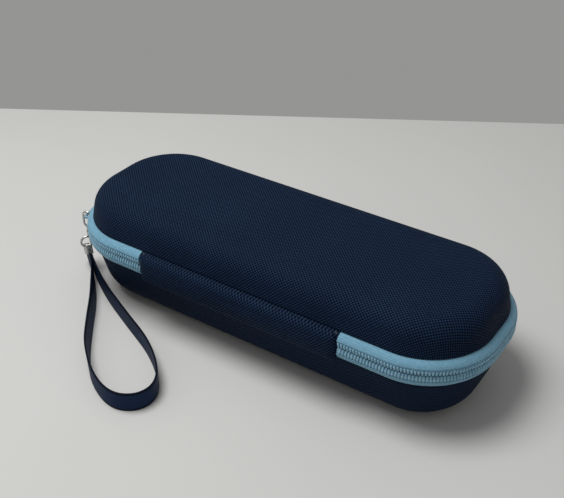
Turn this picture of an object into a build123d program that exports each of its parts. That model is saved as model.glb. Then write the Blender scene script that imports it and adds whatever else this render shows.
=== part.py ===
from build123d import *
import math
import os

# Zipped clamshell carrying case with a wrist strap, in millimetres.
# Origin: centre of the base's underside.  +X runs along the case, +Z is up, and the folding
# hinge strip is on the -Y side.  The zip runs round the other three sides, and its two sliders
# meet at the -X end, where the strap hangs.

# ---- driving dimensions -------------------------------------------------------------------
HALF_LENGTH = 112.5        # zip band outline, its widest section
HALF_WIDTH = 42.55
CORNER_R = 36.0
HEIGHT = 57.3

ZIP_Z = 35.3               # where the two rows of the zip meet
LID_RIM_Z = 41.9
BASE_RIM_Z = 26.8
LID_RIM_INSET = 3.6        # how far each shell's rim lies inside the zip band outline
BASE_RIM_INSET = 4.05
LID_DRAFT = 10.6           # degrees from vertical
BASE_DRAFT = 14.0
LID_EDGE_R = 10.6          # rounding between wall and top, and between wall and underside
BASE_EDGE_R = 17.0

COVER_T = 0.7              # woven outer face
CORE_T = 2.8               # moulded foam
LINING_T = 0.5             # inner face

TAPE_BACK = (2.3, 2.9)     # insets of the tape's edge behind the zip's rows
TAPE_FLANGE_T = 0.7        # the sewn edge of the tape, flat against the rim
TAPE_FLANGE_IN = 8.7       # inset of the sewn edge's end
TAPE_FRONT = 0.5           # inset of a tape's face beside the rows
TAPE_BEND = ((4.6, 30.1), (4.0, 39.9))    # (inset, z) where each tape's back turns to its flange
BINDING_IN = (6.2, 8.75, 9.4)             # insets of the seam binding's edge, fold and inner face
BINDING_T = 0.7
BINDING_TURN = 2.3         # how far the binding turns up over the tape's end
ROW_GAP = 0.45             # half the space between the two rows
ROW_H = 2.55               # height of each row
ROW_OUT = 0.1              # inset of a row's outer face
TAPE_EDGE_GAP = 0.05       # from a row's inner edge to the edge of its tape

STRIP_X = (-58.0, 53.0)    # the hinge strip's ends
STRIP_TOP_Z = 41.6
STRIP_BOTTOM_Z = 26.3
STRIP_Y = (-44.1, -40.4)   # outer and inner faces of the padded strip
LINER_Y = (-40.4, -39.3)
STRIP_END_R = 5.5
END_CLEARANCE = 0.3

SLIDER_HALF_ANGLE = 6.5    # degrees of the corner arc
SLIDER_LENGTH = 8.2
SLIDER_ANGLE = 197.7       # where the strap's slider stands on the front left corner arc
REAR_SLIDER_Y = -5.5
PLATE_Z = (32.1, 37.5)
OUTER_PLATE = (-1.3, -0.5) # insets
INNER_PLATE = (3.4, 4.3)
DIVIDER_HALF = 0.25
BRIDGE_R = 0.7
BRIDGE_OUT = 4.6           # bridge centre beyond the band outline
BRIDGE_Z = 32.9
BRIDGE_HALF = 2.7
POST_STOP = 0.6            # the bridge's posts end inside the outer plate

WIRE_R = 0.6
PULL_RING = (4.8, 9.1)     # width and height between wire centres
PULL_RING_OUT = 4.7        # ring centre beyond the band outline
PULL_RING_BOTTOM_Z = 25.3
EYE_R = 1.5                # swivel eye, to its wire centre
EYE_WIRE_R = 0.5
PIN_R = 0.5
PIN_HEAD_R = 0.85
PIN_HEAD_T = 0.6
PIN_HEAD_UP = 0.7          # from the barrel's underside to the pin's head
SWIVEL_CLEARANCE = 0.06
BARREL_R = 1.45
LOOP = (3.0, 4.9)          # barrel loop, width and height between wire centres
LOOP_BOTTOM_Z = 16.0
LOOP_WIRE_R = 0.55
STRAP_RING_R = 3.2
STRAP_RING_Z = 16.2
STRAP_RING_OFFSET = 1.9    # ring centre, sideways from the swivel axis

STRAP_HEADING = -33.5      # degrees from +X, the way the strap leaves its clamp
STRAP_WIDTH = 10.0
STRAP_T = 1.0
STRAP_FLOOR = 0.15         # the strap's lower edge
STRAP_GRIP = 3.6           # from the clamp's folded end to the strap's ends inside it
STRAP_DROP = 14.0          # run over which the strap's upper edge comes down from the clamp
CLAMP_TILT = 31.0          # degrees from plumb
CLAMP_W = 11.0
CLAMP_L = (-1.9, 3.9)      # its folded end and its mouth, from the ring's wire
CLAMP_T = 3.4
CLAMP_EDGE_R = 0.6
CLAMP_FOLD = 3.5           # solid metal at the folded end, where the ring runs through
CLAMP_WALL = 0.45
CLAMP_SLOT_T = 2.2         # room for both layers of the strap
CLAMP_HOLE_R = 1.25
CLAMP_END_R = 1.6          # rounding of the folded end's corners


# ---- shared helpers -----------------------------------------------------------------------
def outline(inset, z):
    """The case's plan outline, drawn in by inset, as a face at height z."""
    shape = RectangleRounded(
        2 * (HALF_LENGTH - inset), 2 * (HALF_WIDTH - inset), CORNER_R - inset)
    return Pos(0, 0, z) * shape


def dished(rim_z, rim_inset, far_z, draft, edge_r):
    """A solid that narrows from the rim to a flat far face with a rounded edge."""
    far_inset = rim_inset + abs(far_z - rim_z) * math.tan(math.radians(draft))
    body = loft([outline(rim_inset, rim_z).face(), outline(far_inset, far_z).face()], ruled=True)
    far_edges = body.edges().filter_by(lambda e: abs(e.center().Z - far_z) < 0.01)
    return fillet(far_edges, edge_r)


def layers(rim_z, rim_inset, far_z, draft, edge_r):
    """Cover, foam core and lining of one half, nested inside each other."""
    inward = 1 if far_z < rim_z else -1
    depths = (0, COVER_T, COVER_T + CORE_T, COVER_T + CORE_T + LINING_T)
    skins = [
        dished(rim_z, rim_inset + d, far_z + inward * d, draft, edge_r - d) for d in depths]
    return [outer - inner for outer, inner in zip(skins, skins[1:])]


def zip_path():
    """The band outline from one end of the hinge strip round to the other."""
    hl, hw, r = HALF_LENGTH, HALF_WIDTH, CORNER_R
    cx, cy = hl - r, hw - r
    start = STRIP_X[0] - END_CLEARANCE
    end = STRIP_X[1] + END_CLEARANCE
    return Wire([
        Edge.make_line((start, -hw), (-cx, -hw)),
        CenterArc((-cx, -cy), r, 270, -90),
        Edge.make_line((-hl, -cy), (-hl, cy)),
        CenterArc((-cx, cy), r, 180, -90),
        Edge.make_line((-cx, hw), (cx, hw)),
        CenterArc((cx, cy), r, 90, -90),
        Edge.make_line((hl, cy), (hl, -cy)),
        CenterArc((cx, -cy), r, 0, -90),
        Edge.make_line((cx, -hw), (end, -hw)),
    ])


def band(profile):
    """A band along the zip's path, from its section's (inset, z) points."""
    start = STRIP_X[0] - END_CLEARANCE
    points = [(start, -HALF_WIDTH + inset, z) for inset, z in profile]
    section = make_face(Polyline(*points, close=True))
    return sweep(section, path=zip_path())


def write(name, shape):
    shape.label = name
    export_step(shape, f"parts/{name}.step")


# ---- base and lid shells ------------------------------------------------------------------
def shells():
    names = ("cover", "shell", "lining")
    base = layers(BASE_RIM_Z, BASE_RIM_INSET, 0.0, BASE_DRAFT, BASE_EDGE_R)
    lid = layers(LID_RIM_Z, LID_RIM_INSET, HEIGHT, LID_DRAFT, LID_EDGE_R)
    for name, shape in zip(names, base):
        write("base_" + name, shape)
    for name, shape in zip(names, lid):
        write("lid_" + name, shape)


# ---- zip ----------------------------------------------------------------------------------
def zip_rows_and_tapes():
    """Each tape runs from its row, behind it, to the flange that is sewn to the shell's rim."""
    near, back = TAPE_BACK
    halves = (
        ("base", -1, BASE_RIM_Z, BASE_RIM_INSET, TAPE_BEND[0]),
        ("lid", 1, LID_RIM_Z, LID_RIM_INSET, TAPE_BEND[1]))
    for name, side, rim_z, rim_inset, bend in halves:
        row_near = ZIP_Z + side * ROW_GAP
        row_far = row_near + side * ROW_H
        tape_edge = row_near + side * TAPE_EDGE_GAP
        flange_z = rim_z - side * TAPE_FLANGE_T
        write(name + "_zip_tape", band([
            (TAPE_FRONT, row_far), (near, row_far), (near, tape_edge), (back, tape_edge),
            (back, bend[1]), (bend[0], flange_z), (TAPE_FLANGE_IN, flange_z),
            (TAPE_FLANGE_IN, rim_z), (rim_inset, rim_z)]))
        write(name + "_zip_row", band([
            (ROW_OUT, row_far), (near, row_far), (near, row_near), (ROW_OUT, row_near)]))


def bindings():
    """Seam bindings, folded over the sewn edges inside the mouth."""
    edge, fold, inner = BINDING_IN
    for name, side, rim_z in (("base", -1, BASE_RIM_Z), ("lid", 1, LID_RIM_Z)):
        sewn_z = rim_z - side * TAPE_FLANGE_T
        turn_z = sewn_z + side * BINDING_TURN
        face_z = sewn_z - side * BINDING_T
        write(name + "_binding", band([
            (edge, sewn_z), (fold, sewn_z), (fold, turn_z), (inner, turn_z),
            (inner, face_z), (edge, face_z)]))


# ---- hinge strip --------------------------------------------------------------------------
def strip_block(y_range, z_range, corner_r):
    """A slab along the hinge, with its four corners rounded as seen from the front."""
    length = STRIP_X[1] - STRIP_X[0]
    height = z_range[1] - z_range[0]
    face = Plane.XZ * RectangleRounded(length, height, corner_r)
    mid_x = sum(STRIP_X) / 2
    mid_z = sum(z_range) / 2
    slab = extrude(face, y_range[1] - y_range[0], dir=(0, 1, 0))
    return Pos(mid_x, y_range[0], mid_z) * slab


def hinge_strip():
    padded = strip_block(STRIP_Y, (STRIP_BOTTOM_Z, STRIP_TOP_Z), STRIP_END_R)
    outer_edges = padded.edges().filter_by(lambda e: e.center().Y < STRIP_Y[0] + 0.01)
    write("hinge_cover", fillet(outer_edges, 2.6))
    write("hinge_liner", strip_block(LINER_Y, (BASE_RIM_Z + 0.4, STRIP_TOP_Z), 2.0))


# ---- inside -------------------------------------------------------------------------------
def lid_pocket():
    """A mesh panel with three gathered sides, sewn to the lining of the lid."""
    half_x, y_low, y_high = 78.0, -26.0, 10.0
    panel_z, ceiling_z, t = 47.6, HEIGHT - COVER_T - CORE_T - LINING_T, 0.6
    mid_y, depth = (y_low + y_high) / 2, y_high - y_low
    outer = Pos(0, mid_y, (panel_z + ceiling_z) / 2) * Box(2 * half_x, depth, ceiling_z - panel_z)
    inner = Pos(0, mid_y + t, (panel_z + ceiling_z) / 2 + t) * Box(
        2 * (half_x - t), depth, ceiling_z - panel_z)
    write("mesh_pocket", outer - inner)
    hem = Pos(0, y_high + 1.5, panel_z + t / 2) * Box(2 * half_x, 3.0, 1.2)
    write("pocket_elastic", fillet(hem.edges().filter_by(Axis.X), 0.5))


def base_elastic():
    """A flat elastic band across the tray, sewn down at both ends."""
    floor_z = COVER_T + CORE_T + LINING_T
    band_w, band_t, half_y, stitch = 25.0, 1.2, 17.5, 5.0
    strap = Pos(0, 0, floor_z + 1.4) * Box(band_w, 2 * half_y, band_t)
    pads = [
        Pos(0, side * (half_y - stitch / 2), floor_z + 0.4) * Box(band_w, stitch, 0.8)
        for side in (-1, 1)]
    write("retaining_elastic", strap + pads[0] + pads[1])


# ---- sliders ------------------------------------------------------------------------------
def direction(angle):
    return Vector(math.cos(math.radians(angle)), math.sin(math.radians(angle)), 0)


CORNER = Vector(-(HALF_LENGTH - CORNER_R), -(HALF_WIDTH - CORNER_R), 0)
OUTWARD = direction(SLIDER_ANGLE)                  # away from the case at the strap's slider
ALONG = direction(SLIDER_ANGLE + 90)               # along the zip there, towards the front
PLUMB = Vector(0, 0, 1)


def bridge(frame):
    """The slider's bridge in a frame at the bridge's middle: x outward, y along the zip."""
    post_l = BRIDGE_OUT + OUTER_PLATE[1] - POST_STOP
    rod = Rot(90, 0, 0) * Cylinder(BRIDGE_R, 2 * BRIDGE_HALF)
    posts = [
        Pos(-post_l / 2, side * BRIDGE_HALF, 0) * Rot(0, 90, 0) * Cylinder(BRIDGE_R, post_l)
        for side in (-1, 1)]
    ends = [Pos(0, side * BRIDGE_HALF, 0) * Sphere(BRIDGE_R) for side in (-1, 1)]
    return frame * (rod + posts[0] + posts[1] + ends[0] + ends[1])


def channel_sections():
    """Outer plate, inner plate and divider, as (inset range, z range)."""
    divider_z = (ZIP_Z - DIVIDER_HALF, ZIP_Z + DIVIDER_HALF)
    return (
        (OUTER_PLATE, PLATE_Z),
        (INNER_PLATE, PLATE_Z),
        ((OUTER_PLATE[1] - 0.1, INNER_PLATE[0] + 0.1), divider_z),
    )


def front_slider():
    """The strap's slider, curved to the corner that it runs round."""
    body = None
    start = Plane(origin=CORNER, x_dir=direction(SLIDER_ANGLE - SLIDER_HALF_ANGLE),
                  z_dir=direction(SLIDER_ANGLE - SLIDER_HALF_ANGLE - 90))
    for insets, zs in channel_sections():
        width, height = insets[1] - insets[0], zs[1] - zs[0]
        radius = CORNER_R - sum(insets) / 2
        face = start * (Pos(radius, sum(zs) / 2) * Rectangle(width, height))
        piece = revolve(face, Axis(CORNER, PLUMB), 2 * SLIDER_HALF_ANGLE)
        body = piece if body is None else body + piece
    place = Location(Plane(origin=CORNER + OUTWARD * (CORNER_R + BRIDGE_OUT) + PLUMB * BRIDGE_Z,
                           x_dir=OUTWARD, z_dir=PLUMB))
    write("front_slider", body + bridge(place))


def rear_slider():
    body = None
    for insets, zs in channel_sections():
        piece = Pos(-HALF_LENGTH + sum(insets) / 2, REAR_SLIDER_Y, sum(zs) / 2) * Box(
            insets[1] - insets[0], SLIDER_LENGTH, zs[1] - zs[0])
        body = piece if body is None else body + piece
    place = Location(Plane(origin=(-HALF_LENGTH - BRIDGE_OUT, REAR_SLIDER_Y, BRIDGE_Z),
                           x_dir=(-1, 0, 0), z_dir=PLUMB))
    write("rear_slider", body + bridge(place))


# ---- strap hardware -----------------------------------------------------------------------
HANG = CORNER + OUTWARD * (CORNER_R + PULL_RING_OUT)      # plumb line under the pull ring
LEAD = direction(STRAP_HEADING)                           # the way the strap leaves
SIDE = direction(STRAP_HEADING + 90)                      # square to the strap's face


def oval_ring(centre, across, size, wire_r):
    """A wire ring of two straight sides and two half circles, upright, its width along across."""
    width, height = size
    frame = Plane(origin=centre, x_dir=PLUMB, z_dir=across.cross(PLUMB))
    path = frame * SlotOverall(height, width).wire()
    start = path @ 0
    section = Plane(origin=start, z_dir=path % 0) * Circle(wire_r)
    return sweep(section, path=path)


def pull_rings():
    middle_z = PULL_RING_BOTTOM_Z + PULL_RING[1] / 2
    write("pull_ring", oval_ring(HANG + PLUMB * middle_z, OUTWARD, PULL_RING, WIRE_R))
    rear = Vector(-HALF_LENGTH - PULL_RING_OUT, REAR_SLIDER_Y, middle_z)
    write("rear_pull_ring", oval_ring(rear, Vector(-1, 0, 0), PULL_RING, WIRE_R))


def upright_ring(centre, normal, radius, wire_r):
    return Location(Plane(origin=centre, z_dir=normal)) * Torus(radius, wire_r)


def swivel():
    """An eye on a headed pin, which turns in a barrel with a loop under it."""
    slack = 0.1
    eye_z = PULL_RING_BOTTOM_Z + WIRE_R + EYE_WIRE_R + slack - EYE_R
    loop_top = LOOP_BOTTOM_Z + LOOP[1]
    barrel_low, barrel_high = loop_top - 2 * slack, eye_z - EYE_R - EYE_WIRE_R - 2 * slack
    head_low = barrel_low + PIN_HEAD_UP
    head_high = head_low + PIN_HEAD_T
    eye = upright_ring(HANG + PLUMB * eye_z, OUTWARD, EYE_R, EYE_WIRE_R)
    write("swivel_eye", eye + upright_rod(PIN_R, head_high, eye_z - EYE_R)
          + upright_rod(PIN_HEAD_R, head_low, head_high))

    barrel = upright_rod(BARREL_R, barrel_low, barrel_high)
    bore = upright_rod(PIN_R + SWIVEL_CLEARANCE, head_high, barrel_high)
    room = upright_rod(PIN_HEAD_R + SWIVEL_CLEARANCE, head_low - slack, head_high + slack)
    loop = oval_ring(HANG + PLUMB * (LOOP_BOTTOM_Z + LOOP[1] / 2), LEAD, LOOP, LOOP_WIRE_R)
    write("swivel_barrel", barrel + loop - bore - room)


def upright_rod(radius, low, high):
    return Pos(*(HANG + PLUMB * (low + high) / 2)) * Cylinder(radius, high - low)


# The strap ring's middle, and the wire at its foot that the clamp hangs on.
RING_MIDDLE = HANG - SIDE * STRAP_RING_OFFSET + PLUMB * STRAP_RING_Z
RING_FOOT = RING_MIDDLE - PLUMB * STRAP_RING_R


def strap_ring():
    write("strap_ring", upright_ring(RING_MIDDLE, LEAD, STRAP_RING_R, WIRE_R))


def strap_clamp():
    """A folded plate that grips both ends of the strap, with a hole for the strap ring."""
    tilt = math.radians(CLAMP_TILT)
    down = LEAD * math.sin(tilt) - PLUMB * math.cos(tilt)
    frame = Location(Plane(origin=RING_FOOT, x_dir=down, z_dir=SIDE))
    length = CLAMP_L[1] - CLAMP_L[0]
    body = Pos(sum(CLAMP_L) / 2, 0, 0) * Box(length, CLAMP_W, CLAMP_T)
    end_corners = body.edges().filter_by(Axis.Z).sort_by(Axis.X)[:2]
    body = fillet(end_corners, CLAMP_END_R)
    body = fillet(body.faces().sort_by(Axis.X)[0].edges().filter_by(Axis.Y), CLAMP_EDGE_R)
    slot = Pos(CLAMP_L[1], 0, 0) * Box(
        2 * (length - CLAMP_FOLD), CLAMP_W - 2 * CLAMP_WALL, CLAMP_SLOT_T)
    hole = Cylinder(CLAMP_HOLE_R, 2 * CLAMP_T)
    write("strap_clamp", frame * (body - slot - hole))


# ---- wrist strap --------------------------------------------------------------------------
def corner_radii(points):
    """The largest even rounding of each corner: 0.45 of its shorter run over tan(half turn)."""
    radii = []
    for a, b, c in zip(points, points[1:], points[2:]):
        before, after = Vector(*b) - Vector(*a), Vector(*c) - Vector(*b)
        turn = before.get_angle(after)
        run = min(before.length, after.length)
        radii.append(0.45 * run / math.tan(math.radians(turn / 2)))
    return radii


STRAP_ROUTE = [
    (-119.7, -17.6), (-108.7, -24.9), (-88.5, -37.6), (-62.0, -50.0), (-40.0, -59.8),
    (-24.0, -71.5), (-16.2, -82.5), (-18.6, -93.0), (-29.5, -98.3), (-46.0, -92.3),
    (-62.0, -79.5), (-76.0, -62.8), (-89.5, -45.5), (-107.6, -26.9), (-120.3, -18.5),
]


def wrist_strap():
    """A ribbon stood on its edge: both ends are in the clamp, and it loops out over the table."""
    points = [(x, y, 0) for x, y in STRAP_ROUTE]
    radii = corner_radii(points)
    path = FilletPolyline(*points, radius=radii)
    print("strap radii", [round(r, 1) for r in radii])
    wall_height, reach_out = 30.0, 150.0     # more than the trimmed strap needs
    section = Plane(origin=path @ 0, x_dir=PLUMB, z_dir=path % 0) * Rectangle(
        wall_height, STRAP_T)
    wall = sweep(section, path=path)

    tilt = math.radians(CLAMP_TILT)
    foot = RING_FOOT.Z
    half = STRAP_WIDTH / 2

    def clamp_point(down, across):
        return (down * math.sin(tilt) + across * math.cos(tilt),
                foot - down * math.cos(tilt) + across * math.sin(tilt))

    low_corner = clamp_point(CLAMP_L[0] + STRAP_GRIP, -half)
    reach = (low_corner[1] - STRAP_FLOOR) / math.cos(tilt)
    landing = (low_corner[0] + reach * math.sin(tilt), STRAP_FLOOR)
    high_mouth = clamp_point(CLAMP_L[1], half)
    side = [
        low_corner, clamp_point(CLAMP_L[0] + STRAP_GRIP, half), high_mouth,
        (high_mouth[0] + STRAP_DROP, STRAP_FLOOR + STRAP_WIDTH),
        (reach_out, STRAP_FLOOR + STRAP_WIDTH), (reach_out, STRAP_FLOOR), landing]
    frame = Plane(origin=(RING_FOOT.X, RING_FOOT.Y, 0), x_dir=LEAD, z_dir=LEAD.cross(PLUMB))
    trim = extrude(frame * make_face(Polyline(*side, close=True)), reach_out, both=True)
    strap = wall & trim
    print("strap length", round(path.length, 1), "volume", round(strap.volume, 1),
          "section times length", round(path.length * STRAP_T * STRAP_WIDTH, 1))
    write("wrist_strap", strap)


os.makedirs("parts", exist_ok=True)
shells()
zip_rows_and_tapes()
bindings()
hinge_strip()
lid_pocket()
base_elastic()
front_slider()
rear_slider()
pull_rings()
swivel()
strap_ring()
strap_clamp()
wrist_strap()
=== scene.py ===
import math

import bmesh
import bpy
from mathutils import Matrix, Vector, noise


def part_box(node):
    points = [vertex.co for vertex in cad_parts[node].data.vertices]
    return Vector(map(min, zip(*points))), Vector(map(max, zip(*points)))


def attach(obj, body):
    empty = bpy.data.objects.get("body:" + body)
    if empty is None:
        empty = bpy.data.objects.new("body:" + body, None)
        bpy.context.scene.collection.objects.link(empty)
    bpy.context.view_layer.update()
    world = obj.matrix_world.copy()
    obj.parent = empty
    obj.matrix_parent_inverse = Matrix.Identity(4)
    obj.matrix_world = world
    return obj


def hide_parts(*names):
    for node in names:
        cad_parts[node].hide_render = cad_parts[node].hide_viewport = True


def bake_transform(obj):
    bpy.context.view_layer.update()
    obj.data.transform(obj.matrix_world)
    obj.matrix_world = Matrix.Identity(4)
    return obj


# A zipped clamshell case with a wrist strap.  Meshes are drawn in millimetres in the part's
# frame and scaled to metres when they become objects.

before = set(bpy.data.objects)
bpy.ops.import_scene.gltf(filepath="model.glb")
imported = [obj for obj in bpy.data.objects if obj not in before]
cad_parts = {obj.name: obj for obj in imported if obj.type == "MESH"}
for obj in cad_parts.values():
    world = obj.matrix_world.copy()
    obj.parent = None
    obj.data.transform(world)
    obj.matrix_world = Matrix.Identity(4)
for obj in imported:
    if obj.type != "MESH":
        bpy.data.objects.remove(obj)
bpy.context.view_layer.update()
MM = 0.001


def node_box(node):
    low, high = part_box(node)
    return low / MM, high / MM


# ---- sizes, in millimetres ----------------------------------------------------------------
ROW_OUT = 0.1                       # a zip row's outer face lies this far inside the outline
HALF_LENGTH = node_box("base_zip_row")[1].x + ROW_OUT
HALF_WIDTH = node_box("base_zip_row")[1].y + ROW_OUT
CORNER_R = 36.0
HEIGHT = node_box("lid_cover")[1].z
LID_RIM_Z = node_box("lid_cover")[0].z
BASE_RIM_Z = node_box("base_cover")[1].z
LID = dict(rim_z=LID_RIM_Z, rim_inset=3.6, far_z=HEIGHT, draft=10.6, edge_r=10.6)
BASE = dict(rim_z=BASE_RIM_Z, rim_inset=4.05, far_z=0.0, draft=14.0, edge_r=17.0)
COVER_T = 0.65
LINING_DEPTH = (3.53, 4.0)
LID_CROWN = 0.5

ROW_LOW = node_box("base_zip_row")[0].z
ROW_HIGH = node_box("lid_zip_row")[1].z
ZIP_Z = (ROW_LOW + ROW_HIGH) / 2
TOOTH_PITCH = 1.5
TOOTH_GAP = 0.12                    # between a tooth's head and the other row's backing

STRIP_LOW, STRIP_HIGH = node_box("hinge_cover")
STRIP_X = (STRIP_LOW.x, STRIP_HIGH.x)
END_CLEARANCE = 0.3

STRAP_WIDTH = 10.0
STRAP_T = 0.9
STRAP_MID_Z = node_box("wrist_strap")[0].z + STRAP_WIDTH / 2

CORNER_STEPS = 22
SIDE_STEPS = 56
END_STEPS = 6


# ---- curves and sections ------------------------------------------------------------------
def ring(inset):
    """Points (x, y) round the plan outline drawn in by inset, with their outward directions."""
    r = max(CORNER_R - inset, 0.3)
    cx, cy = HALF_LENGTH - inset - r, HALF_WIDTH - inset - r
    centres = ((cx, -cy), (cx, cy), (-cx, cy), (-cx, -cy))
    steps = (END_STEPS, SIDE_STEPS, END_STEPS, SIDE_STEPS)
    points = []
    for k, centre in enumerate(centres):
        following = centres[(k + 1) % 4]
        for i in range(CORNER_STEPS):
            angle = math.radians(-90 + 90 * (k + i / CORNER_STEPS))
            out = (math.cos(angle), math.sin(angle))
            points.append((centre[0] + r * out[0], centre[1] + r * out[1], *out))
        angle = math.radians(90 * k)
        out = (math.cos(angle), math.sin(angle))
        for i in range(steps[k]):
            t = i / steps[k]
            x = centre[0] + (following[0] - centre[0]) * t + r * out[0]
            y = centre[1] + (following[1] - centre[1]) * t + r * out[1]
            points.append((x, y, *out))
    return points


def zip_line(spacing):
    """Points (x, y, outward x, outward y, distance) along the zip, from one end of the hinge
    strip round to the other."""
    cx, cy = HALF_LENGTH - CORNER_R, HALF_WIDTH - CORNER_R
    first, last = STRIP_X[0] - END_CLEARANCE, STRIP_X[1] + END_CLEARANCE
    runs = (
        ("line", (first, -HALF_WIDTH), (-cx, -HALF_WIDTH)), ("arc", (-cx, -cy), 270),
        ("line", (-HALF_LENGTH, -cy), (-HALF_LENGTH, cy)), ("arc", (-cx, cy), 180),
        ("line", (-cx, HALF_WIDTH), (cx, HALF_WIDTH)), ("arc", (cx, cy), 90),
        ("line", (HALF_LENGTH, cy), (HALF_LENGTH, -cy)), ("arc", (cx, -cy), 0),
        ("line", (cx, -HALF_WIDTH), (last, -HALF_WIDTH)))
    quarter = CORNER_R * math.pi / 2
    lengths = [
        quarter if kind == "arc" else math.dist(a, b) for kind, a, b in runs]
    total = sum(lengths)
    count = round(total / spacing)
    points = []
    for i in range(count + 1):
        s = total * i / count
        along = s
        for k, length in enumerate(lengths):
            if along <= length or k == len(lengths) - 1:
                break
            along -= length
        kind, a, b = runs[k]
        if kind == "arc":
            angle = math.radians(b - 90 * along / length)
            out = (math.cos(angle), math.sin(angle))
            points.append((a[0] + CORNER_R * out[0], a[1] + CORNER_R * out[1], *out, s))
        else:
            way = ((b[0] - a[0]) / length, (b[1] - a[1]) / length)
            points.append((a[0] + way[0] * along, a[1] + way[1] * along, -way[1] * -1, 0, s))
            x, y = points[-1][:2]
            points[-1] = (x, y, -way[1], way[0], s)
    return points


def rounded(points, radius, steps=4, closed=True):
    """A section with each corner replaced by a small arc-like curve."""
    result = []
    count = len(points)
    for i, p in enumerate(points):
        if not closed and i in (0, count - 1):
            result.append(p)
            continue
        before, after = points[i - 1], points[(i + 1) % count]
        cut_in = min(radius, math.dist(p, before) / 2)
        cut_out = min(radius, math.dist(p, after) / 2)
        a = [c + (b - c) * cut_in / math.dist(p, before) for b, c in zip(before, p)]
        b = [c + (d - c) * cut_out / math.dist(p, after) for d, c in zip(after, p)]
        for k in range(steps + 1):
            t = k / steps
            result.append(tuple(
                (1 - t) ** 2 * u + 2 * t * (1 - t) * c + t * t * v for u, c, v in zip(a, p, b)))
    return result


def smooth(t):
    t = min(max(t, 0.0), 1.0)
    return t * t * (3 - 2 * t)


# ---- building meshes ----------------------------------------------------------------------
class Sketch:
    """A mesh being drawn, in millimetres, with a texture place in millimetres per corner."""

    def __init__(self):
        self.verts, self.faces, self.uvs = [], [], []

    def grid(self, points, uv, wrap_rows=False, wrap_columns=False):
        """Quads between rows of points. uv(i, j) may be asked one past the end on a wrap."""
        start, rows, columns = len(self.verts), len(points), len(points[0])
        for row in points:
            self.verts.extend(row)
        for i in range(rows if wrap_rows else rows - 1):
            for j in range(columns if wrap_columns else columns - 1):
                corners = ((i, j), (i + 1, j), (i + 1, j + 1), (i, j + 1))
                self.faces.append(
                    [start + (a % rows) * columns + b % columns for a, b in corners])
                self.uvs.append([uv(a, b) for a, b in corners])
        return start

    def cap(self, first, count, uv=(0.0, 0.0), step=1):
        self.faces.append([first + step * k for k in range(count)])
        self.uvs.append([uv] * count if isinstance(uv, tuple) else uv)

    def sweep(self, line, section, closed_line=False):
        """Sweeps a closed section of (inset, z) along line points (x, y, nx, ny, s)."""
        lengths = [0.0]
        for a, b in zip(section, section[1:] + section[:1]):
            lengths.append(lengths[-1] + math.dist(a, b))
        points = [[(x - nx * d, y - ny * d, z) for d, z in section] for x, y, nx, ny, _ in line]
        start = self.grid(points, lambda i, j: (line[i % len(line)][4], lengths[j]),
                          wrap_rows=closed_line, wrap_columns=True)
        if not closed_line:
            self.cap(start, len(section))
            self.cap(start + len(section) * (len(line) - 1), len(section))

    def tube(self, path, radius, sides=12, closed=False):
        """A round wire along a path of points, capped flat at its ends when it is open."""
        path = [Vector(p) for p in path]
        count = len(path)
        rows = []
        up = Vector((0.31, 0.17, 0.93)).normalized()
        distance = [0.0]
        for i, p in enumerate(path):
            before = path[i - 1] if closed or i else p
            after = path[(i + 1) % count] if closed or i < count - 1 else p
            way = (after - before).normalized()
            side = way.cross(up).normalized()
            up = side.cross(way)
            rows.append([
                tuple(p + (side * math.cos(a) + up * math.sin(a)) * radius)
                for a in (2 * math.pi * k / sides for k in range(sides))])
            distance.append(distance[-1] + (after - p).length)
        if closed:
            rows = self._untwist(rows, path, sides)
        start = self.grid(rows, lambda i, j: (distance[i], j * radius * 6.28 / sides),
                          wrap_rows=closed, wrap_columns=True)
        if not closed:
            self.cap(start, sides)
            self.cap(start + sides * (count - 1), sides)

    @staticmethod
    def _untwist(rows, path, sides):
        """Turns the last row onto the first, in whole steps, by sharing the twist out."""
        first, last = rows[0][0], rows[-1]
        shift = min(range(sides), key=lambda k: math.dist(last[k], first))
        result = []
        for i, row in enumerate(rows):
            turn = round(shift * i / max(len(rows) - 1, 1))
            result.append(row[turn:] + row[:turn])
        return result if shift in (0, 1, sides - 1) else rows

    def to_object(self, name, material, body, replaces=(), sharp=50.0):
        mesh = bpy.data.meshes.new(name)
        mesh.from_pydata([(x * MM, y * MM, z * MM) for x, y, z in self.verts], [], self.faces)
        layer = mesh.uv_layers.new(name="cloth")
        for polygon, uvs in zip(mesh.polygons, self.uvs):
            for loop, uv in zip(polygon.loop_indices, uvs):
                layer.data[loop].uv = uv
        drawn = bmesh.new()
        drawn.from_mesh(mesh)
        bmesh.ops.recalc_face_normals(drawn, faces=drawn.faces)
        drawn.to_mesh(mesh)
        drawn.free()
        for polygon in mesh.polygons:
            polygon.use_smooth = True
        mesh.set_sharp_from_angle(angle=math.radians(sharp))
        mesh.materials.append(material)
        obj = bpy.data.objects.new(name, mesh)
        bpy.context.scene.collection.objects.link(obj)
        if body:
            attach(obj, body)
        if replaces:
            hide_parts(*replaces)
        return obj


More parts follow.
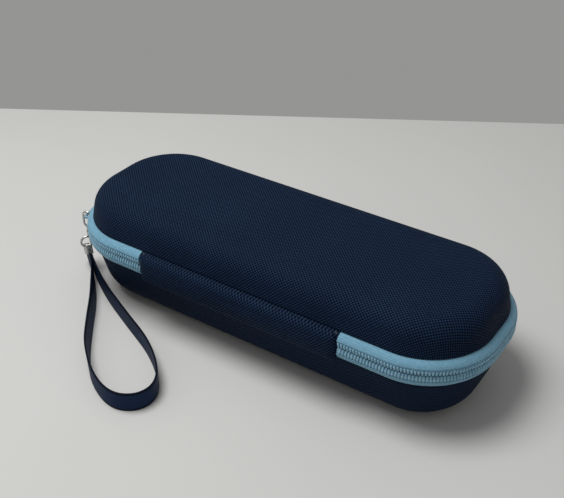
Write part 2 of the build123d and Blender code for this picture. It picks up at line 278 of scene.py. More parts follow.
# ---- materials ----------------------------------------------------------------------------
class Finish:
    """A procedural material, built from short node helpers."""

    def __init__(self, name, **sockets):
        self.material = bpy.data.materials.new(name)
        self.material.use_nodes = True
        self.tree = self.material.node_tree
        self.shader = self.tree.nodes["Principled BSDF"]
        for socket, value in sockets.items():
            self.shader.inputs[socket.replace("_", " ")].default_value = value

    def node(self, kind, **inputs):
        made = self.tree.nodes.new("ShaderNode" + kind)
        for key, value in inputs.items():
            if hasattr(made, key):
                setattr(made, key, value)
        return made

    def join(self, source, target):
        self.tree.links.new(source, target)

    def value(self, socket, source):
        if isinstance(source, bpy.types.NodeSocket):
            self.join(source, socket)
        else:
            socket.default_value = source

    def math(self, operation, a, b=0.0):
        made = self.node("Math", operation=operation)
        self.value(made.inputs[0], a)
        self.value(made.inputs[1], b)
        return made.outputs[0]

    def place(self):
        """The cloth's own two directions, in millimetres."""
        uv = self.node("UVMap")
        uv.uv_map = "cloth"
        split = self.node("SeparateXYZ")
        self.join(uv.outputs[0], split.inputs[0])
        return split.outputs[0], split.outputs[1]

    def wave(self, coordinate, period, phase=0.0):
        """Sine of a coordinate, -1 to 1."""
        turn = self.math("MULTIPLY", coordinate, 2 * math.pi / period)
        return self.math("SINE", self.math("ADD", turn, phase))

    def noise(self, scale, detail=2.0, space="Object"):
        texture = self.node("TexNoise")
        texture.inputs["Scale"].default_value = scale
        texture.inputs["Detail"].default_value = detail
        coordinates = self.node("TexCoord")
        self.join(coordinates.outputs[space], texture.inputs["Vector"])
        return texture.outputs[0]

    def ramp(self, source, low, high, start=0.0, end=1.0):
        """Remaps a value from start..end to low..high."""
        made = self.node("MapRange")
        made.interpolation_type = "SMOOTHSTEP"
        self.value(made.inputs["Value"], source)
        for key, number in (("From Min", start), ("From Max", end), ("To Min", low), ("To Max", high)):
            made.inputs[key].default_value = number
        return made.outputs[0]

    def colours(self, factor, dark, light):
        made = self.node("Mix", data_type="RGBA")
        self.value(made.inputs[0], factor)
        made.inputs[6].default_value = (*dark, 1)
        made.inputs[7].default_value = (*light, 1)
        return made.outputs[2]

    def tint(self, colour, factor):
        """A colour made darker or lighter by a factor."""
        made = self.node("Mix", data_type="RGBA")
        made.blend_type = "MULTIPLY"
        made.inputs[0].default_value = 1.0
        self.join(colour, made.inputs[6])
        grey = self.node("CombineColor")
        for k in range(3):
            self.value(grey.inputs[k], factor)
        self.join(grey.outputs[0], made.inputs[7])
        return made.outputs[2]

    def colour(self, source):
        self.join(source, self.shader.inputs["Base Color"])

    def rough(self, source):
        self.join(source, self.shader.inputs["Roughness"])

    def bump(self, height, distance_mm, strength=1.0):
        made = self.node("Bump")
        made.inputs["Strength"].default_value = strength
        made.inputs["Distance"].default_value = distance_mm * MM
        self.join(height, made.inputs["Height"])
        self.join(made.outputs[0], self.shader.inputs["Normal"])


THREAD = (0.86, 0.81)               # plain weave, thread spacing both ways


def plain_weave(finish, spacing=THREAD):
    """Height of a plain weave: neighbouring crossings stand high and low by turns."""
    u, v = finish.place()
    across = finish.wave(u, 2 * spacing[0])
    along = finish.wave(v, 2 * spacing[1])
    checker = finish.math("MULTIPLY", across, along)
    thread_u = finish.math("ABSOLUTE", across)
    thread_v = finish.math("ABSOLUTE", along)
    hollow = finish.math("MULTIPLY", thread_u, thread_v)
    return checker, hollow


def case_cloth():
    finish = Finish("case_cloth", Roughness=0.66, Specular_IOR_Level=0.06)
    checker, hollow = plain_weave(finish)
    # Painted shade and highlight: the weave's crossings are coloured light and dark by turns, following the bump's
    # checker, for the light that one thread direction catches more than the other.
    shade = finish.ramp(checker, 0.0, 1.0, -0.65, 0.75)
    patch = finish.ramp(finish.noise(26.0, 3.0), 0.92, 1.08, 0.3, 0.7)
    yarn = finish.ramp(finish.noise(900.0, 2.0), 0.86, 1.14, 0.3, 0.7)
    body = finish.colours(shade, (0.0001, 0.0010, 0.0052), (0.0110, 0.0285, 0.0690))
    finish.colour(finish.tint(finish.tint(body, patch), yarn))
    finish.rough(finish.ramp(checker, 0.80, 0.56, -1.0, 1.0))
    height = finish.math("ADD", checker, finish.math("MULTIPLY", hollow, 0.35))
    finish.bump(height, 0.12, 0.8)
    return finish.material


def lining_cloth():
    """A brushed knit."""
    finish = Finish("lining_cloth", Roughness=0.92, Sheen_Weight=0.35, Sheen_Roughness=0.6)
    fuzz = finish.noise(1400.0, 4.0)
    patch = finish.noise(40.0, 3.0)
    blend = finish.math("MULTIPLY", fuzz, patch)
    finish.colour(finish.colours(finish.ramp(blend, 0.0, 1.0, 0.12, 0.4),
                                 (0.012, 0.015, 0.022), (0.034, 0.040, 0.054)))
    finish.bump(fuzz, 0.12, 0.7)
    return finish.material


def twill_cloth(name, dark, light, period=0.62, slope=1.0, depth=0.05, rough=0.72, sheen=0.12):
    """Tape woven in a fine diagonal twill."""
    finish = Finish(name, Roughness=rough, Sheen_Weight=sheen, Sheen_Roughness=0.5,
                    Specular_IOR_Level=0.35)
    u, v = finish.place()
    diagonal = finish.math("ADD", u, finish.math("MULTIPLY", v, slope))
    rib = finish.wave(diagonal, period)
    pick = finish.wave(v, period * 0.8)
    height = finish.math("ADD", rib, finish.math("MULTIPLY", pick, 0.35))
    yarn = finish.ramp(finish.noise(700.0, 2.0), 0.93, 1.07, 0.3, 0.7)
    # Painted shade and highlight: the twill's rib crests are coloured light and its troughs dark, following the bump
    # height.
    shade = finish.ramp(height, 0.0, 1.0, -1.2, 1.2)
    finish.colour(finish.tint(finish.colours(shade, dark, light), yarn))
    finish.bump(height, depth, 0.8)
    return finish.material


def tooth_plastic():
    finish = Finish("tooth_plastic", Roughness=0.34, Specular_IOR_Level=0.5)
    grain = finish.noise(500.0, 2.0)
    finish.colour(finish.colours(finish.ramp(grain, 0.0, 1.0, 0.3, 0.7),
                                 (0.195, 0.390, 0.520), (0.260, 0.480, 0.620)))
    finish.rough(finish.ramp(grain, 0.28, 0.42, 0.3, 0.7))
    return finish.material


def ribbed_cloth(name, dark, light, period=0.9, depth=0.10, rough=0.6):
    """Grosgrain and elastic: ribs across the tape."""
    finish = Finish(name, Roughness=rough, Sheen_Weight=0.15, Sheen_Roughness=0.5)
    u, v = finish.place()
    rib = finish.wave(u, period)
    warp = finish.wave(v, period * 0.45)
    height = finish.math("ADD", rib, finish.math("MULTIPLY", warp, 0.3))
    yarn = finish.ramp(finish.noise(800.0, 2.0), 0.9, 1.1, 0.3, 0.7)
    # Painted shade and highlight: the rib crests are coloured light and the grooves between them dark, following the
    # bump height.
    finish.colour(finish.tint(
        finish.colours(finish.ramp(height, 0.0, 1.0, -1.1, 1.1), dark, light), yarn))
    finish.bump(height, depth, 0.8)
    return finish.material


def ribbon_cloth():
    """The strap: a satin-faced ribbon with darker selvedges and faint ribs across it."""
    finish = Finish("ribbon_cloth", Roughness=0.58, Specular_IOR_Level=0.07)
    u, v = finish.place()
    rib = finish.wave(u, 0.8)
    from_middle = finish.math("ABSOLUTE", v)
    edge = finish.ramp(from_middle, 0.0, 1.0, 3.7, 4.3)
    stripe = finish.wave(v, 0.55)
    patch = finish.ramp(finish.noise(60.0, 3.0), 0.9, 1.12, 0.3, 0.7)
    # Painted shade and highlight: the ribs are coloured lighter on their crests and darker between them, following
    # the bump.
    middle = finish.colours(finish.ramp(rib, 0.0, 1.0, -1.0, 1.0),
                            (0.0065, 0.0175, 0.0500), (0.0105, 0.0265, 0.0700))
    made = finish.node("Mix", data_type="RGBA")
    finish.join(edge, made.inputs[0])
    finish.join(middle, made.inputs[6])
    made.inputs[7].default_value = (0.0020, 0.0050, 0.0140, 1)
    finish.colour(finish.tint(made.outputs[2], patch))
    height = finish.math("ADD", finish.math("MULTIPLY", rib, 0.7), finish.math("MULTIPLY", stripe, 0.3))
    finish.bump(height, 0.035, 0.6)
    return finish.material


def net_cloth():
    """Knitted mesh: a staggered lattice of small dark holes."""
    finish = Finish("net_cloth", Roughness=0.7, Sheen_Weight=0.2)
    u, v = finish.place()
    holes = finish.math("MULTIPLY", finish.wave(u, 2.2), finish.wave(v, 1.7))
    shade = finish.ramp(finish.math("ABSOLUTE", holes), 1.0, 0.0, 0.35, 0.75)
    finish.colour(finish.colours(shade, (0.002, 0.002, 0.003), (0.030, 0.034, 0.045)))
    finish.bump(shade, 0.25, 0.9)
    return finish.material


def metal(name, colour, rough, scratches=0.08):
    finish = Finish(name, Metallic=1.0, Roughness=rough)
    finish.shader.inputs["Base Color"].default_value = (*colour, 1)
    wear = finish.noise(420.0, 5.0)
    finish.colour(finish.colours(finish.ramp(wear, 0.0, 1.0, 0.35, 0.65),
                                 tuple(0.72 * c for c in colour), colour))
    finish.rough(finish.ramp(finish.noise(900.0, 3.0), rough - scratches, rough + scratches,
                             0.3, 0.7))
    finish.bump(wear, 0.02, 0.35)
    return finish.material


def foam():
    finish = Finish("foam", Roughness=0.9)
    cells = finish.noise(1100.0, 3.0)
    finish.colour(finish.colours(finish.ramp(cells, 0.0, 1.0, 0.35, 0.65),
                                 (0.006, 0.007, 0.010), (0.014, 0.016, 0.021)))
    finish.bump(cells, 0.10, 0.6)
    return finish.material


def enamel():
    """Blue enamel over die-cast metal, worn brighter on its raised grain."""
    finish = Finish("slider_enamel", Roughness=0.38, Coat_Weight=0.4, Coat_Roughness=0.25)
    wear = finish.noise(600.0, 4.0)
    finish.colour(finish.colours(finish.ramp(wear, 0.0, 1.0, 0.3, 0.75),
                                 (0.125, 0.255, 0.340), (0.190, 0.350, 0.440)))
    finish.rough(finish.ramp(wear, 0.32, 0.46, 0.3, 0.7))
    finish.bump(wear, 0.02, 0.4)
    return finish.material


CLOTH = case_cloth()
LINING = lining_cloth()
TAPE = twill_cloth("zip_tape_twill", (0.100, 0.255, 0.372), (0.215, 0.432, 0.568), 1.15, -1.4)
TOOTH = tooth_plastic()
BINDING = ribbed_cloth("binding_grosgrain", (0.006, 0.009, 0.018), (0.022, 0.031, 0.055))
ELASTIC = ribbed_cloth("elastic_rib", (0.005, 0.006, 0.010), (0.024, 0.027, 0.036), 1.3, 0.16)
RIBBON = ribbon_cloth()
NET = net_cloth()
FOAM = foam()
THREAD_CLOTH = ribbed_cloth("sewing_thread", (0.010, 0.016, 0.034), (0.032, 0.048, 0.085), 0.5, 0.05)
WIRE = metal("ring_metal", (0.62, 0.62, 0.61), 0.22)
SLIDER = enamel()
CRIMP = metal("clamp_metal", (0.46, 0.46, 0.45), 0.38, 0.12)


# ---- shells: covers and linings -----------------------------------------------------------
def half_profile(half, depth):
    """(inset, z, stretch) from the middle of the far face out to the rim, depth inside the
    outer face. stretch is the distance along the cloth from the edge of the flat face."""
    inward = 1 if half["far_z"] < half["rim_z"] else -1
    far_z = half["far_z"] + inward * depth
    rim_inset = half["rim_inset"] + depth
    edge_r = half["edge_r"] - depth
    draft = math.radians(half["draft"])
    slope = abs(far_z - half["rim_z"]) * math.tan(draft)
    corner = rim_inset + slope
    tangent = edge_r * math.tan((math.pi / 2 - draft) / 2)
    flat_edge = corner + tangent
    points = []
    middle = HALF_WIDTH - 0.4
    for k in range(11):
        inset = middle + (flat_edge - middle) * k / 10
        points.append((inset, far_z, flat_edge - inset))
    sweep_angle = math.pi / 2 - draft
    for k in range(1, 15):
        a = sweep_angle * k / 14
        inset = flat_edge - edge_r * math.sin(a)
        z = far_z + inward * edge_r * (1 - math.cos(a))
        points.append((inset, z, edge_r * a))
    start_inset, start_z, start_s = points[-1]
    for k in range(1, 7):
        t = k / 6
        inset = start_inset + (rim_inset - start_inset) * t
        z = start_z + (half["rim_z"] - start_z) * t
        points.append((inset, z, start_s + math.dist((start_inset, start_z), (inset, z))))
    return points, flat_edge


def crown_height(inset, flat_edge, crown):
    return crown * smooth((inset - flat_edge * 0.85) / (HALF_WIDTH - flat_edge * 0.85))


def skin(name, half, depths, material, body, node, crown=0.0):
    """One layer of a half: outer face, rounded rim and inner face."""
    outer, flat_edge = half_profile(half, depths[0])
    inner, _ = half_profile(half, depths[1])
    inward = 1 if half["far_z"] < half["rim_z"] else -1
    round_r = (depths[1] - depths[0]) / 2
    rim = []
    rim_s = outer[-1][2]
    middle_inset = half["rim_inset"] + sum(depths) / 2
    for k in range(7):
        a = math.pi * k / 6
        rim.append((middle_inset - round_r * math.cos(a),
                    half["rim_z"] - inward * round_r * (1 - math.sin(a)), rim_s + round_r * a))
    section = outer[:-1] + rim + [(d, z, rim_s + 3 - s) for d, z, s in reversed(inner[:-1])]
    flat_ring = ring(flat_edge)
    outer_count = len(outer)
    rows = []
    places = []
    for k, (inset, z, s) in enumerate(section):
        points = ring(inset)
        lift = crown_height(inset, flat_edge, crown) if k < outer_count else 0.0
        rows.append([(x, y, z + lift) for x, y, _, _ in points])
        if s <= 0:
            places.append([(x, y) for x, y, _, _ in points])
        else:
            places.append([(x + nx * s, y + ny * s) for x, y, nx, ny in flat_ring])
    sketch = Sketch()
    count = len(flat_ring)
    start = sketch.grid(rows, lambda i, j: places[i][j % count], wrap_columns=True)
    for k in (0, len(section) - 1):
        sketch.cap(start + k * count, count, places[k])
    return sketch.to_object(name, material, body, (node,), sharp=80)


skin("lid_fabric", LID, (0.0, COVER_T), CLOTH, "lid", "lid_cover", LID_CROWN)
skin("base_fabric", BASE, (0.0, COVER_T), CLOTH, "base", "base_cover")
skin("lid_inner_fabric", LID, LINING_DEPTH, LINING, "lid", "lid_lining")
skin("base_inner_fabric", BASE, LINING_DEPTH, LINING, "base", "base_lining")


# ---- zip ----------------------------------------------------------------------------------
def tape(name, section, body, node):
    sketch = Sketch()
    sketch.sweep(zip_line(1.6), rounded(section, 0.28, 3))
    return sketch.to_object(name, TAPE, body, (node,), sharp=60)


def bulge(a, b, out, steps=8):
    """Points from a to b, swelling by out to the left of the way."""
    ux, uz = b[0] - a[0], b[1] - a[1]
    length = math.hypot(ux, uz)
    normal = (uz / length, -ux / length)
    points = []
    for k in range(steps + 1):
        t = k / steps
        w = out * 4 * t * (1 - t)
        points.append((a[0] + ux * t + normal[0] * w, a[1] + uz * t + normal[1] * w))
    return points


def lid_tape():
    low = ROW_HIGH
    face = bulge((4.35, LID_RIM_Z - 0.30), (0.30, low + 0.60), 0.75)
    section = face + [
        (0.45, low + 0.15), (1.0, low - 0.1), (2.35, low - 0.1), (2.35, ZIP_Z + 0.5), (2.85, ZIP_Z + 0.5),
        (2.85, 39.9), (4.3, LID_RIM_Z - 0.75), (8.7, LID_RIM_Z - 0.75), (8.7, LID_RIM_Z - 0.02)]
    return tape("lid_tape", section, "lid", "lid_zip_tape")


def base_tape():
    high = ROW_LOW
    face = bulge((0.45, high - 0.55), (4.75, BASE_RIM_Z + 0.25), 0.65)
    section = face + [
        (8.7, BASE_RIM_Z + 0.02), (8.7, BASE_RIM_Z + 0.75), (4.9, BASE_RIM_Z + 0.75), (2.85, 30.1),
        (2.85, ZIP_Z - 0.5), (2.35, ZIP_Z - 0.5), (2.35, high + 0.1), (1.0, high + 0.1), (0.6, high - 0.15)]
    return tape("base_tape", section, "base", "base_zip_tape")


def tooth_row(name, side, body, node):
    """The coil of one side: rounded loops on a cord. side is +1 for the lid, -1 for the base."""
    sketch = Sketch()
    outer_z = ROW_HIGH if side > 0 else ROW_LOW
    head_z = ZIP_Z + side * TOOTH_GAP
    backing = rounded([(0.75, outer_z - side * 0.1), (2.3, outer_z - side * 0.1),
                       (2.3, ZIP_Z + side * 0.5), (1.10, ZIP_Z + side * 0.9)], 0.25, 3)
    sketch.sweep(zip_line(2.2), backing)
    line = zip_line(TOOTH_PITCH / 2)
    # height from the coil's foot to its head, half width along the zip, outer inset
    stations = ((0.0, 0.34, 0.70), (0.08, 0.46, 0.30), (0.25, 0.54, 0.08), (0.45, 0.56, 0.05),
                (0.60, 0.55, 0.28), (0.78, 0.60, 0.52), (0.93, 0.56, 0.66), (1.0, 0.36, 0.95))
    back_inset = 1.75
    first = 1 if side > 0 else 2
    for x, y, nx, ny, _ in line[first:-1:2]:
        tx, ty = -ny, nx
        rows = []
        for height, half, front in stations:
            z = outer_z + (head_z - outer_z) * height
            deep, mid = (back_inset - front) / 2, (back_inset + front) / 2
            row = []
            for k in range(8):
                a = 2 * math.pi * (k + 0.5) / 8
                along = half * math.copysign(abs(math.cos(a)) ** 0.7, math.cos(a))
                inset = mid + deep * math.copysign(abs(math.sin(a)) ** 0.7, math.sin(a))
                row.append((x - nx * inset + tx * along, y - ny * inset + ty * along, z))
            rows.append(row)
        start = sketch.grid(rows, lambda i, j: (i, j), wrap_columns=True)
        sketch.cap(start, 8)
        sketch.cap(start + 8 * (len(stations) - 1), 8)
    return sketch.to_object(name, TOOTH, body, (node,), sharp=70)


lid_tape()
base_tape()
tooth_row("lid_teeth", 1, "lid", "lid_zip_row")
tooth_row("base_teeth", -1, "base", "base_zip_row")


# ---- seam bindings ------------------------------------------------------------------------
def stitches(sketch, points, length=2.0, gap=1.1, radius=0.17):
    """A row of sewn stitches along a path of points, each a short length of thread."""
    points = [Vector(p) for p in points]
    walked = [0.0]
    for a, b in zip(points, points[1:]):
        walked.append(walked[-1] + (b - a).length)

    def at(s):
        for k in range(len(points) - 1):
            if s <= walked[k + 1]:
                t = (s - walked[k]) / (walked[k + 1] - walked[k])
                return points[k].lerp(points[k + 1], t)
        return points[-1]

    s = gap
    while s + length < walked[-1]:
        sketch.tube([at(s + length * k / 4) for k in range(5)], radius, 6)
        s += length + gap


def binding(name, side, body, node):
    """Grosgrain folded over the sewn edge. side is +1 for the lid, -1 for the base."""
    edge_z = LID_RIM_Z - 0.77 if side > 0 else BASE_RIM_Z + 0.77
    far_z = edge_z + side * 2.3
    section = [
        (6.2, edge_z), (8.78, edge_z), (8.78, far_z), (9.4, far_z),
        (9.4, edge_z - side * 0.62), (6.2, edge_z - side * 0.62)]
    sketch = Sketch()
    sketch.sweep(zip_line(2.0), rounded(section, 0.3, 3))
    line = [(x - nx * 6.8, y - ny * 6.8, edge_z - side * 0.66) for x, y, nx, ny, _ in zip_line(2.0)]
    made = sketch.to_object(name, BINDING, body, (node,), sharp=60)
    seam = Sketch()
    stitches(seam, line)
    seam.to_object(name + "_stitches", THREAD_CLOTH, body)
    return made


binding("lid_seam_binding", 1, "lid", "lid_binding")
binding("base_seam_binding", -1, "base", "base_binding")


# ---- hinge strip --------------------------------------------------------------------------
def slab_ring(half_x, half_z, r, steps=8, along=40):
    """A rounded rectangle as (x, z) points."""
    points = []
    cx, cz = half_x - r, half_z - r
    for k, (sx, sz) in enumerate(((1, -1), (1, 1), (-1, 1), (-1, -1))):
        for i in range(steps):
            a = math.radians(-90 + 90 * (k + i / steps))
            points.append((sx * cx + r * math.cos(a), sz * cz + r * math.sin(a)))
        a = math.radians(90 * k)
        nx, nz = ((1, 1), (-1, 1), (-1, -1), (1, -1))[k]
        count = 4 if k % 2 == 0 else along
        for i in range(count):
            t = i / count
            x = sx * cx + (nx * cx - sx * cx) * t + r * math.cos(a)
            z = sz * cz + (nz * cz - sz * cz) * t + r * math.sin(a)
            points.append((x, z))
    return points


def hinge_pad():
    """The padded strip: a crowned pad with its edges drawn in and its cloth slightly puckered."""
    middle_x = sum(STRIP_X) / 2
    low_z, high_z = STRIP_LOW.z, LID_RIM_Z - 0.05
    middle_z = (low_z + high_z) / 2
    half_x = (STRIP_X[1] - STRIP_X[0]) / 2
    half_z = (high_z - low_z) / 2
    back_y, front_y = STRIP_HIGH.y + 1.05, STRIP_LOW.y
    depth = back_y - front_y
    end_r, edge = 3.0, 4.4
    rows, places = [], []
    steps = 16
    insets = [edge * (1 - math.cos(math.pi / 2 * k / 8)) for k in range(9)]
    insets += [edge + (half_z - 0.5 - edge) * k / (steps - 8) for k in range(1, steps - 7)]
    rows.append([(x + middle_x, back_y, z + middle_z) for x, z in slab_ring(half_x - 0.5, half_z - 0.5, end_r - 0.5)])
    places.append([(x, z) for x, _, z in rows[-1]])
    rows.append([(x + middle_x, back_y - 0.55, z + middle_z) for x, z in slab_ring(half_x, half_z, end_r)])
    places.append([(x, z) for x, _, z in rows[-1]])
    for inset in insets[1:]:
        r = max(end_r - inset, 0.2)
        outline_points = slab_ring(half_x - inset, half_z - inset, r)
        t = min(inset / edge, 1.0)
        roll = math.sqrt(1 - (1 - t) ** 2)
        settle = smooth((inset - edge) / (half_z - edge))
        row = []
        for x, z in outline_points:
            swell = (depth - 0.55 - 0.35) * roll + 0.35 * settle
            wrinkle = 0.10 * noise.noise(Vector((x * 0.11, z * 0.3, inset * 0.2)))
            row.append((x + middle_x, back_y - 0.55 - swell - wrinkle * roll, z + middle_z))
        rows.append(row)
        places.append([(x, z) for x, _, z in row])
    count = len(rows[0])
    sketch = Sketch()
    start = sketch.grid(rows, lambda i, j: places[i][j % count], wrap_columns=True)
    sketch.cap(start, count, places[0])
    sketch.cap(start + count * (len(rows) - 1), count, places[-1])
    pad = sketch.to_object("hinge_pad", CLOTH, "spine", ("hinge_cover",), sharp=80)
    return pad


def hinge_inner():
    low, high = node_box("hinge_liner")
    half_x, half_z = (high.x - low.x) / 2, (high.z - low.z) / 2
    mid_x, mid_z = (high.x + low.x) / 2, (high.z + low.z) / 2
    rows, places = [], []
    for inset, y in ((0.4, high.y), (0.1, high.y - 0.2), (0.0, (low.y + high.y) / 2), (0.1, low.y + 0.2),
                     (0.4, low.y)):
        rows.append([(x + mid_x, y, z + mid_z)
                     for x, z in slab_ring(half_x - inset, half_z - inset, 2.0 - inset)])
        places.append([(x, z) for x, _, z in rows[-1]])
    count = len(rows[0])
    sketch = Sketch()
    start = sketch.grid(rows, lambda i, j: places[i][j % count], wrap_columns=True)
    sketch.cap(start, count, places[0])
    sketch.cap(start + count * (len(rows) - 1), count, places[-1])
    sketch.to_object("hinge_inner_cloth", LINING, "spine", ("hinge_liner",), sharp=80)


def fold_cloth():
    """The cloth between the pad and its liner, which runs on into the lid's wall with a fixed bend near the lid's
    rim, where the lid folds; it is attached to no body and does not follow the lid."""
    liner_low, liner_high = node_box("hinge_liner")
    wall_y = -HALF_WIDTH + LID["rim_inset"]
    low_z, high_z, reach = LID_RIM_Z - 4.0, LID_RIM_Z + 2.4, 0.2
    first, last = liner_low.x + reach, liner_high.x - reach
    columns, lines = 60, 24
    spine_y, lid_y = liner_low.y - 0.15, wall_y + 1.4
    front = []
    for k in range(lines + 1):
        t = k / lines
        front.append((spine_y + (lid_y - spine_y) * smooth((t - 0.45) / 0.25),
                      low_z + (high_z - low_z) * t))
    section = front + [(y + 0.35, z) for y, z in reversed(front)]
    rows = [[(first + (last - first) * i / columns, y, z) for y, z in section]
            for i in range(columns + 1)]
    sketch = Sketch()
    width = len(section)
    start = sketch.grid(rows, lambda i, j: (rows[i][0][0], section[j % width][1]), wrap_columns=True)
    sketch.cap(start, width)
    sketch.cap(start + width * columns, width)
    cloth = sketch.to_object("fold_cloth", CLOTH, None, sharp=60)
    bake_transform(cloth)


hinge_pad()
hinge_inner()
fold_cloth()


# ---- lid pocket ---------------------------------------------------------------------------
def pocket():
    """A knitted mesh panel, gathered to an elastic hem and sewn to the lining on three sides."""
    low, high = node_box("mesh_pocket")
    panel_z, ceiling_z = low.z + 0.3, high.z - 0.1
    columns, lines = 120, 36
    gather = 8.0

    def surface(i, j, offset):
        x = low.x + (high.x - low.x) * i / columns
        y = low.y + (high.y - low.y) * j / lines
        side = min(x - low.x, high.x - x)
        rise = (1 - smooth(side / 4.5)) + (1 - smooth((y - low.y) / 4.5))
        near_hem = smooth((y - high.y + 14) / 14)
        ripple = 0.30 * math.sin(2 * math.pi * x / gather + 0.8 * noise.noise(Vector((x * 0.05, 0, 0))))
        ripple *= near_hem * (1 - 0.9 * smooth((y - high.y + 1.5) / 1.5)) * smooth(side / 6)
        sag = -0.25 * smooth(side / 40) * math.sin(math.pi * j / lines)
        z = panel_z + min(rise, 1.0) * (ceiling_z - panel_z) + ripple + sag
        return (x, y, z + offset)

    sketch = Sketch()
    loop = [(j, -0.14) for j in range(lines + 1)] + [(j, 0.14) for j in range(lines, -1, -1)]
    rows = [[surface(i, j, offset) for j, offset in loop] for i in range(columns + 1)]
    depth_mm = high.y - low.y
    start = sketch.grid(
        rows, lambda i, j: (i * (high.x - low.x) / columns, (j % len(loop)) * depth_mm / lines),
        wrap_columns=True)
    sketch.cap(start, len(loop))
    sketch.cap(start + len(loop) * columns, len(loop))
    panel = sketch.to_object("pocket_net", NET, "lid", ("mesh_pocket",), sharp=80)


def pocket_hem():
    low, high = node_box("pocket_elastic")
    half_y, half_z = (high.y - low.y) / 2, (high.z - low.z) / 2
    mid_y, mid_z = (high.y + low.y) / 2, (high.z + low.z) / 2
    section = rounded([(mid_y - half_y, mid_z - half_z), (mid_y + half_y, mid_z - half_z),
                       (mid_y + half_y, mid_z + half_z), (mid_y - half_y, mid_z + half_z)], 0.5, 4)
    rows = []
    count = 160
    for i in range(count + 1):
        x = low.x + (high.x - low.x) * i / count
        ripple = 0.06 * math.sin(2 * math.pi * x / 8.0)
        rows.append([(x, y, z + ripple) for y, z in section])
    sketch = Sketch()
    start = sketch.grid(rows, lambda i, j: (rows[i][0][0], j * 0.5), wrap_columns=True)
    sketch.cap(start, len(section))
    sketch.cap(start + len(section) * count, len(section))
    sketch.to_object("pocket_hem", ELASTIC, "lid", ("pocket_elastic",), sharp=60)
    seam = Sketch()
    stitches(seam, [(low.x + 1, mid_y - 0.6, low.z - 0.02), (high.x - 1, mid_y - 0.6, low.z - 0.02)])
    seam.to_object("pocket_hem_stitches", THREAD_CLOTH, "lid")


def tray_elastic():
    """A flat elastic over the tray's floor, sewn down at both ends."""
    low, high = node_box("retaining_elastic")
    half_x = (high.x - low.x) / 2
    thickness = 1.1
    rows = []
    count = 48
    for j in range(count + 1):
        y = low.y + (high.y - low.y) * j / count
        from_end = min(y - low.y, high.y - y)
        top = low.z + 1.25 + (high.z - low.z - 1.25) * smooth((from_end - 3.5) / 5.0)
        section = rounded([(-half_x, top - thickness), (half_x, top - thickness), (half_x, top),
                           (-half_x, top)], 0.45, 3)
        rows.append([(x, y, z) for x, z in section])
    width = len(rows[0])
    sketch = Sketch()
    start = sketch.grid(rows, lambda i, j: (rows[i][0][1], rows[i][j % width][0]), wrap_columns=True)
    sketch.cap(start, width)
    sketch.cap(start + width * count, width)
    sketch.to_object("tray_elastic", ELASTIC, "base", ("retaining_elastic",), sharp=60)
    seam = Sketch()
    top = low.z + 1.27
    for side in (-1, 1):
        edge = high.y if side > 0 else low.y
        near, far = edge - side * 0.9, edge - side * 3.2
        stitches(seam, [(-half_x + 1.5, near, top), (half_x - 1.5, near, top)])
        stitches(seam, [(-half_x + 1.5, far, top), (half_x - 1.5, far, top)])
    seam.to_object("tray_elastic_stitches", THREAD_CLOTH, "base")


pocket()
pocket_hem()
tray_elastic()


# ---- metalwork ----------------------------------------------------------------------------
def node_middle(node):
    low, high = node_box(node)
    return (low + high) / 2


def keep_node(node, material, bevel=0.0):
    """A CAD node whose shape is right keeps it, with a better material and smooth shading broken at its sharp edges.
    """
    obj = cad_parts[node]
    obj.data.materials.clear()
    obj.data.materials.append(material)
    for polygon in obj.data.polygons:
        polygon.use_smooth = True
        polygon.material_index = 0
    obj.data.set_sharp_from_angle(angle=math.radians(35))
    if bevel:
        modifier = obj.modifiers.new("broken_edges", "BEVEL")
        modifier.width = bevel * MM
        modifier.segments = 2
        modifier.limit_method = "ANGLE"
        modifier.angle_limit = math.radians(50)
        modifier.harden_normals = False


for node, material in (
        ("base_shell", FOAM), ("lid_shell", FOAM), ("front_slider", SLIDER), ("rear_slider", SLIDER),
        ("pull_ring", WIRE), ("rear_pull_ring", WIRE), ("swivel_eye", WIRE), ("swivel_barrel", WIRE),
        ("strap_ring", WIRE), ("strap_clamp", CRIMP)):
    keep_node(node, material)


# ---- wrist strap --------------------------------------------------------------------------
STRAP_ROUTE = [
    (-108.7, -24.9), (-88.5, -37.6), (-62.0, -50.0), (-40.0, -59.8),
    (-24.0, -71.5), (-16.2, -82.5), (-18.6, -93.0), (-29.5, -98.3), (-46.0, -92.3),
    (-62.0, -79.5), (-76.0, -62.8), (-89.5, -45.5), (-107.6, -26.9),
]
HEADING = math.radians(-33.5)
LEAD = Vector((math.cos(HEADING), math.sin(HEADING), 0))
SIDE = Vector((-math.sin(HEADING), math.cos(HEADING), 0))
CLAMP_TILT = math.radians(31.0)
RING_FOOT = Vector((node_middle("strap_ring").x, node_middle("strap_ring").y,
                    node_box("strap_ring")[0].z + 0.6))
DOWN = LEAD * math.sin(CLAMP_TILT) - Vector((0, 0, 1)) * math.cos(CLAMP_TILT)


def strap_route():
    """The route's points in three dimensions: out of the clamp, round on the table and back."""
    out_side, back_side = SIDE * 0.5, SIDE * -0.5
    leaving = [RING_FOOT + DOWN * d + out_side for d in (1.9, 4.0)]
    coming = [RING_FOOT + DOWN * d + back_side for d in (4.0, 1.9)]
    return leaving + [Vector((x, y, STRAP_MID_Z)) for x, y in STRAP_ROUTE] + coming


def nurbs_points(points, per_span=14):
    """Points along the smooth curve that the route's points control, in millimetres."""
    curve = bpy.data.curves.new("strap_route", "CURVE")
    curve.dimensions = "3D"
    curve.resolution_u = per_span
    spline = curve.splines.new("NURBS")
    spline.points.add(len(points) - 1)
    for target, p in zip(spline.points, points):
        target.co = (*p, 1)
    spline.order_u = 3
    spline.use_endpoint_u = True
    carrier = bpy.data.objects.new("strap_route", curve)
    line = bpy.data.meshes.new_from_object(carrier)
    result = [v.co.copy() for v in line.vertices]
    bpy.data.meshes.remove(line)
    bpy.data.objects.remove(carrier)
    bpy.data.curves.remove(curve)
    return result


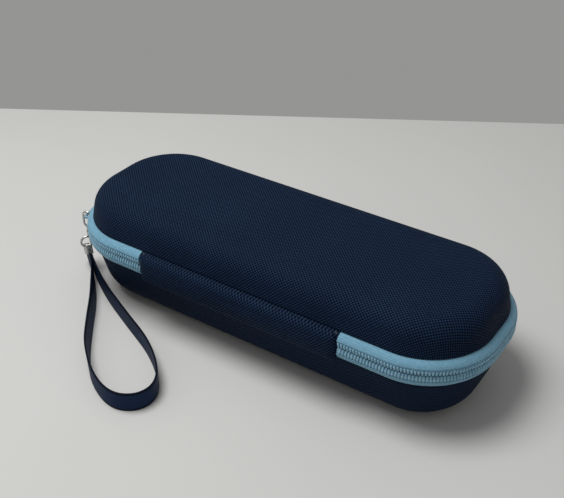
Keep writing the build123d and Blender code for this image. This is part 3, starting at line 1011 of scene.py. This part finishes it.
def wrist_strap():
    points = nurbs_points(strap_route())
    walked = [0.0]
    for a, b in zip(points, points[1:]):
        walked.append(walked[-1] + (b - a).length)
    total = walked[-1]
    section = rounded([(-STRAP_WIDTH / 2, -STRAP_T / 2), (STRAP_WIDTH / 2, -STRAP_T / 2),
                       (STRAP_WIDTH / 2, STRAP_T / 2), (-STRAP_WIDTH / 2, STRAP_T / 2)], 0.3, 3)
    filled = []
    for a, b in zip(section, section[1:] + section[:1]):
        pieces = max(1, round(math.dist(a, b) / 1.2))
        filled += [(a[0] + (b[0] - a[0]) * k / pieces, a[1] + (b[1] - a[1]) * k / pieces)
                   for k in range(pieces)]
    rows = []
    for i, p in enumerate(points):
        way = (points[min(i + 1, len(points) - 1)] - points[max(i - 1, 0)]).normalized()
        flat = Vector((way.x, way.y, 0)).normalized()
        face = Vector((-flat.y, flat.x, 0))
        share = walked[i] / total
        lean = math.radians(-9) * smooth((share - 0.62) / 0.10) * smooth((0.97 - share) / 0.10)
        across = face.cross(way) * -1
        if across.z < 0:
            across = -across
        turned = Matrix.Rotation(lean, 3, way)
        across, out = turned @ across, turned @ face
        low = min(d * across.z + t * out.z for d, t in filled)
        lift = max(0.0, 0.16 - (p.z + low))
        rows.append([tuple(p + across * d + out * t + Vector((0, 0, lift))) for d, t in filled])
    sketch = Sketch()
    width = len(filled)
    start = sketch.grid(rows, lambda i, j: (walked[i], filled[j % width][0]), wrap_columns=True)
    sketch.cap(start, width)
    sketch.cap(start + width * (len(rows) - 1), width)
    strap = sketch.to_object("wrist_ribbon", RIBBON, "strap", ("wrist_strap",), sharp=60)
    print("strap length", round(total, 1))


wrist_strap()


# ---- stage: table, light and camera -------------------------------------------------
def stage_sheet(name, corners, colour, rough):
    mesh = bpy.data.meshes.new(name)
    mesh.from_pydata(corners, [], [tuple(range(len(corners)))])
    finish = Finish(name, Roughness=rough, Specular_IOR_Level=0.25)
    grain = finish.noise(9.0, 3.0)
    finish.colour(finish.colours(finish.ramp(grain, 0.0, 1.0, 0.3, 0.7),
                                 tuple(0.985 * c for c in colour), colour))
    mesh.materials.append(finish.material)
    obj = bpy.data.objects.new(name, mesh)
    bpy.context.scene.collection.objects.link(obj)


TABLE_EDGE = Vector((-0.314, 0.092, 0))
EDGE_WAY = Vector((0.8635, 0.5043, 0))
EDGE_BACK = Vector((-0.5043, 0.8635, 0))


def stage():
    left, right = TABLE_EDGE - EDGE_WAY * 3, TABLE_EDGE + EDGE_WAY * 4
    front = EDGE_BACK * -4
    stage_sheet("table", [left + front, right + front, right, left], (0.60, 0.60, 0.585), 0.6)


def area_light(name, place, target, size, power, colour=(1, 1, 1)):
    data = bpy.data.lights.new(name, "AREA")
    data.shape = "DISK"
    data.size = size
    data.energy = power
    data.color = colour
    obj = bpy.data.objects.new(name, data)
    obj.location = place
    obj.rotation_euler = (Vector(target) - Vector(place)).to_track_quat("-Z", "Y").to_euler()
    bpy.context.scene.collection.objects.link(obj)


def lights():
    area_light("key", (-0.19, -0.15, 0.76), (-0.05, -0.06, 0.0), 0.42, 4.7)
    area_light("fill", (-0.9, -0.5, 0.8), (0.0, 0.0, 0.0), 0.9, 0.8)
    world = bpy.data.worlds.new("room")
    bpy.context.scene.world = world
    world.use_nodes = True
    background = world.node_tree.nodes["Background"]
    background.inputs["Color"].default_value = (1.0, 1.0, 0.985, 1)
    background.inputs["Strength"].default_value = 0.30


def camera():
    data = bpy.data.cameras.new("camera")
    data.sensor_width = 36.0
    data.lens = 59.28
    obj = bpy.data.objects.new("camera", data)
    right, up, back = (0.8296, 0.5584, 0.0), (-0.3084, 0.4582, 0.8336), (0.4655, -0.6916, 0.5523)
    turn = Matrix((right, up, back)).transposed()
    obj.matrix_world = Matrix.Translation((0.20613, -0.31086, 0.29025)) @ turn.to_4x4()
    bpy.context.scene.collection.objects.link(obj)
    bpy.context.scene.camera = obj


stage()
lights()
camera()
bpy.context.scene.view_settings.view_transform = "Standard"
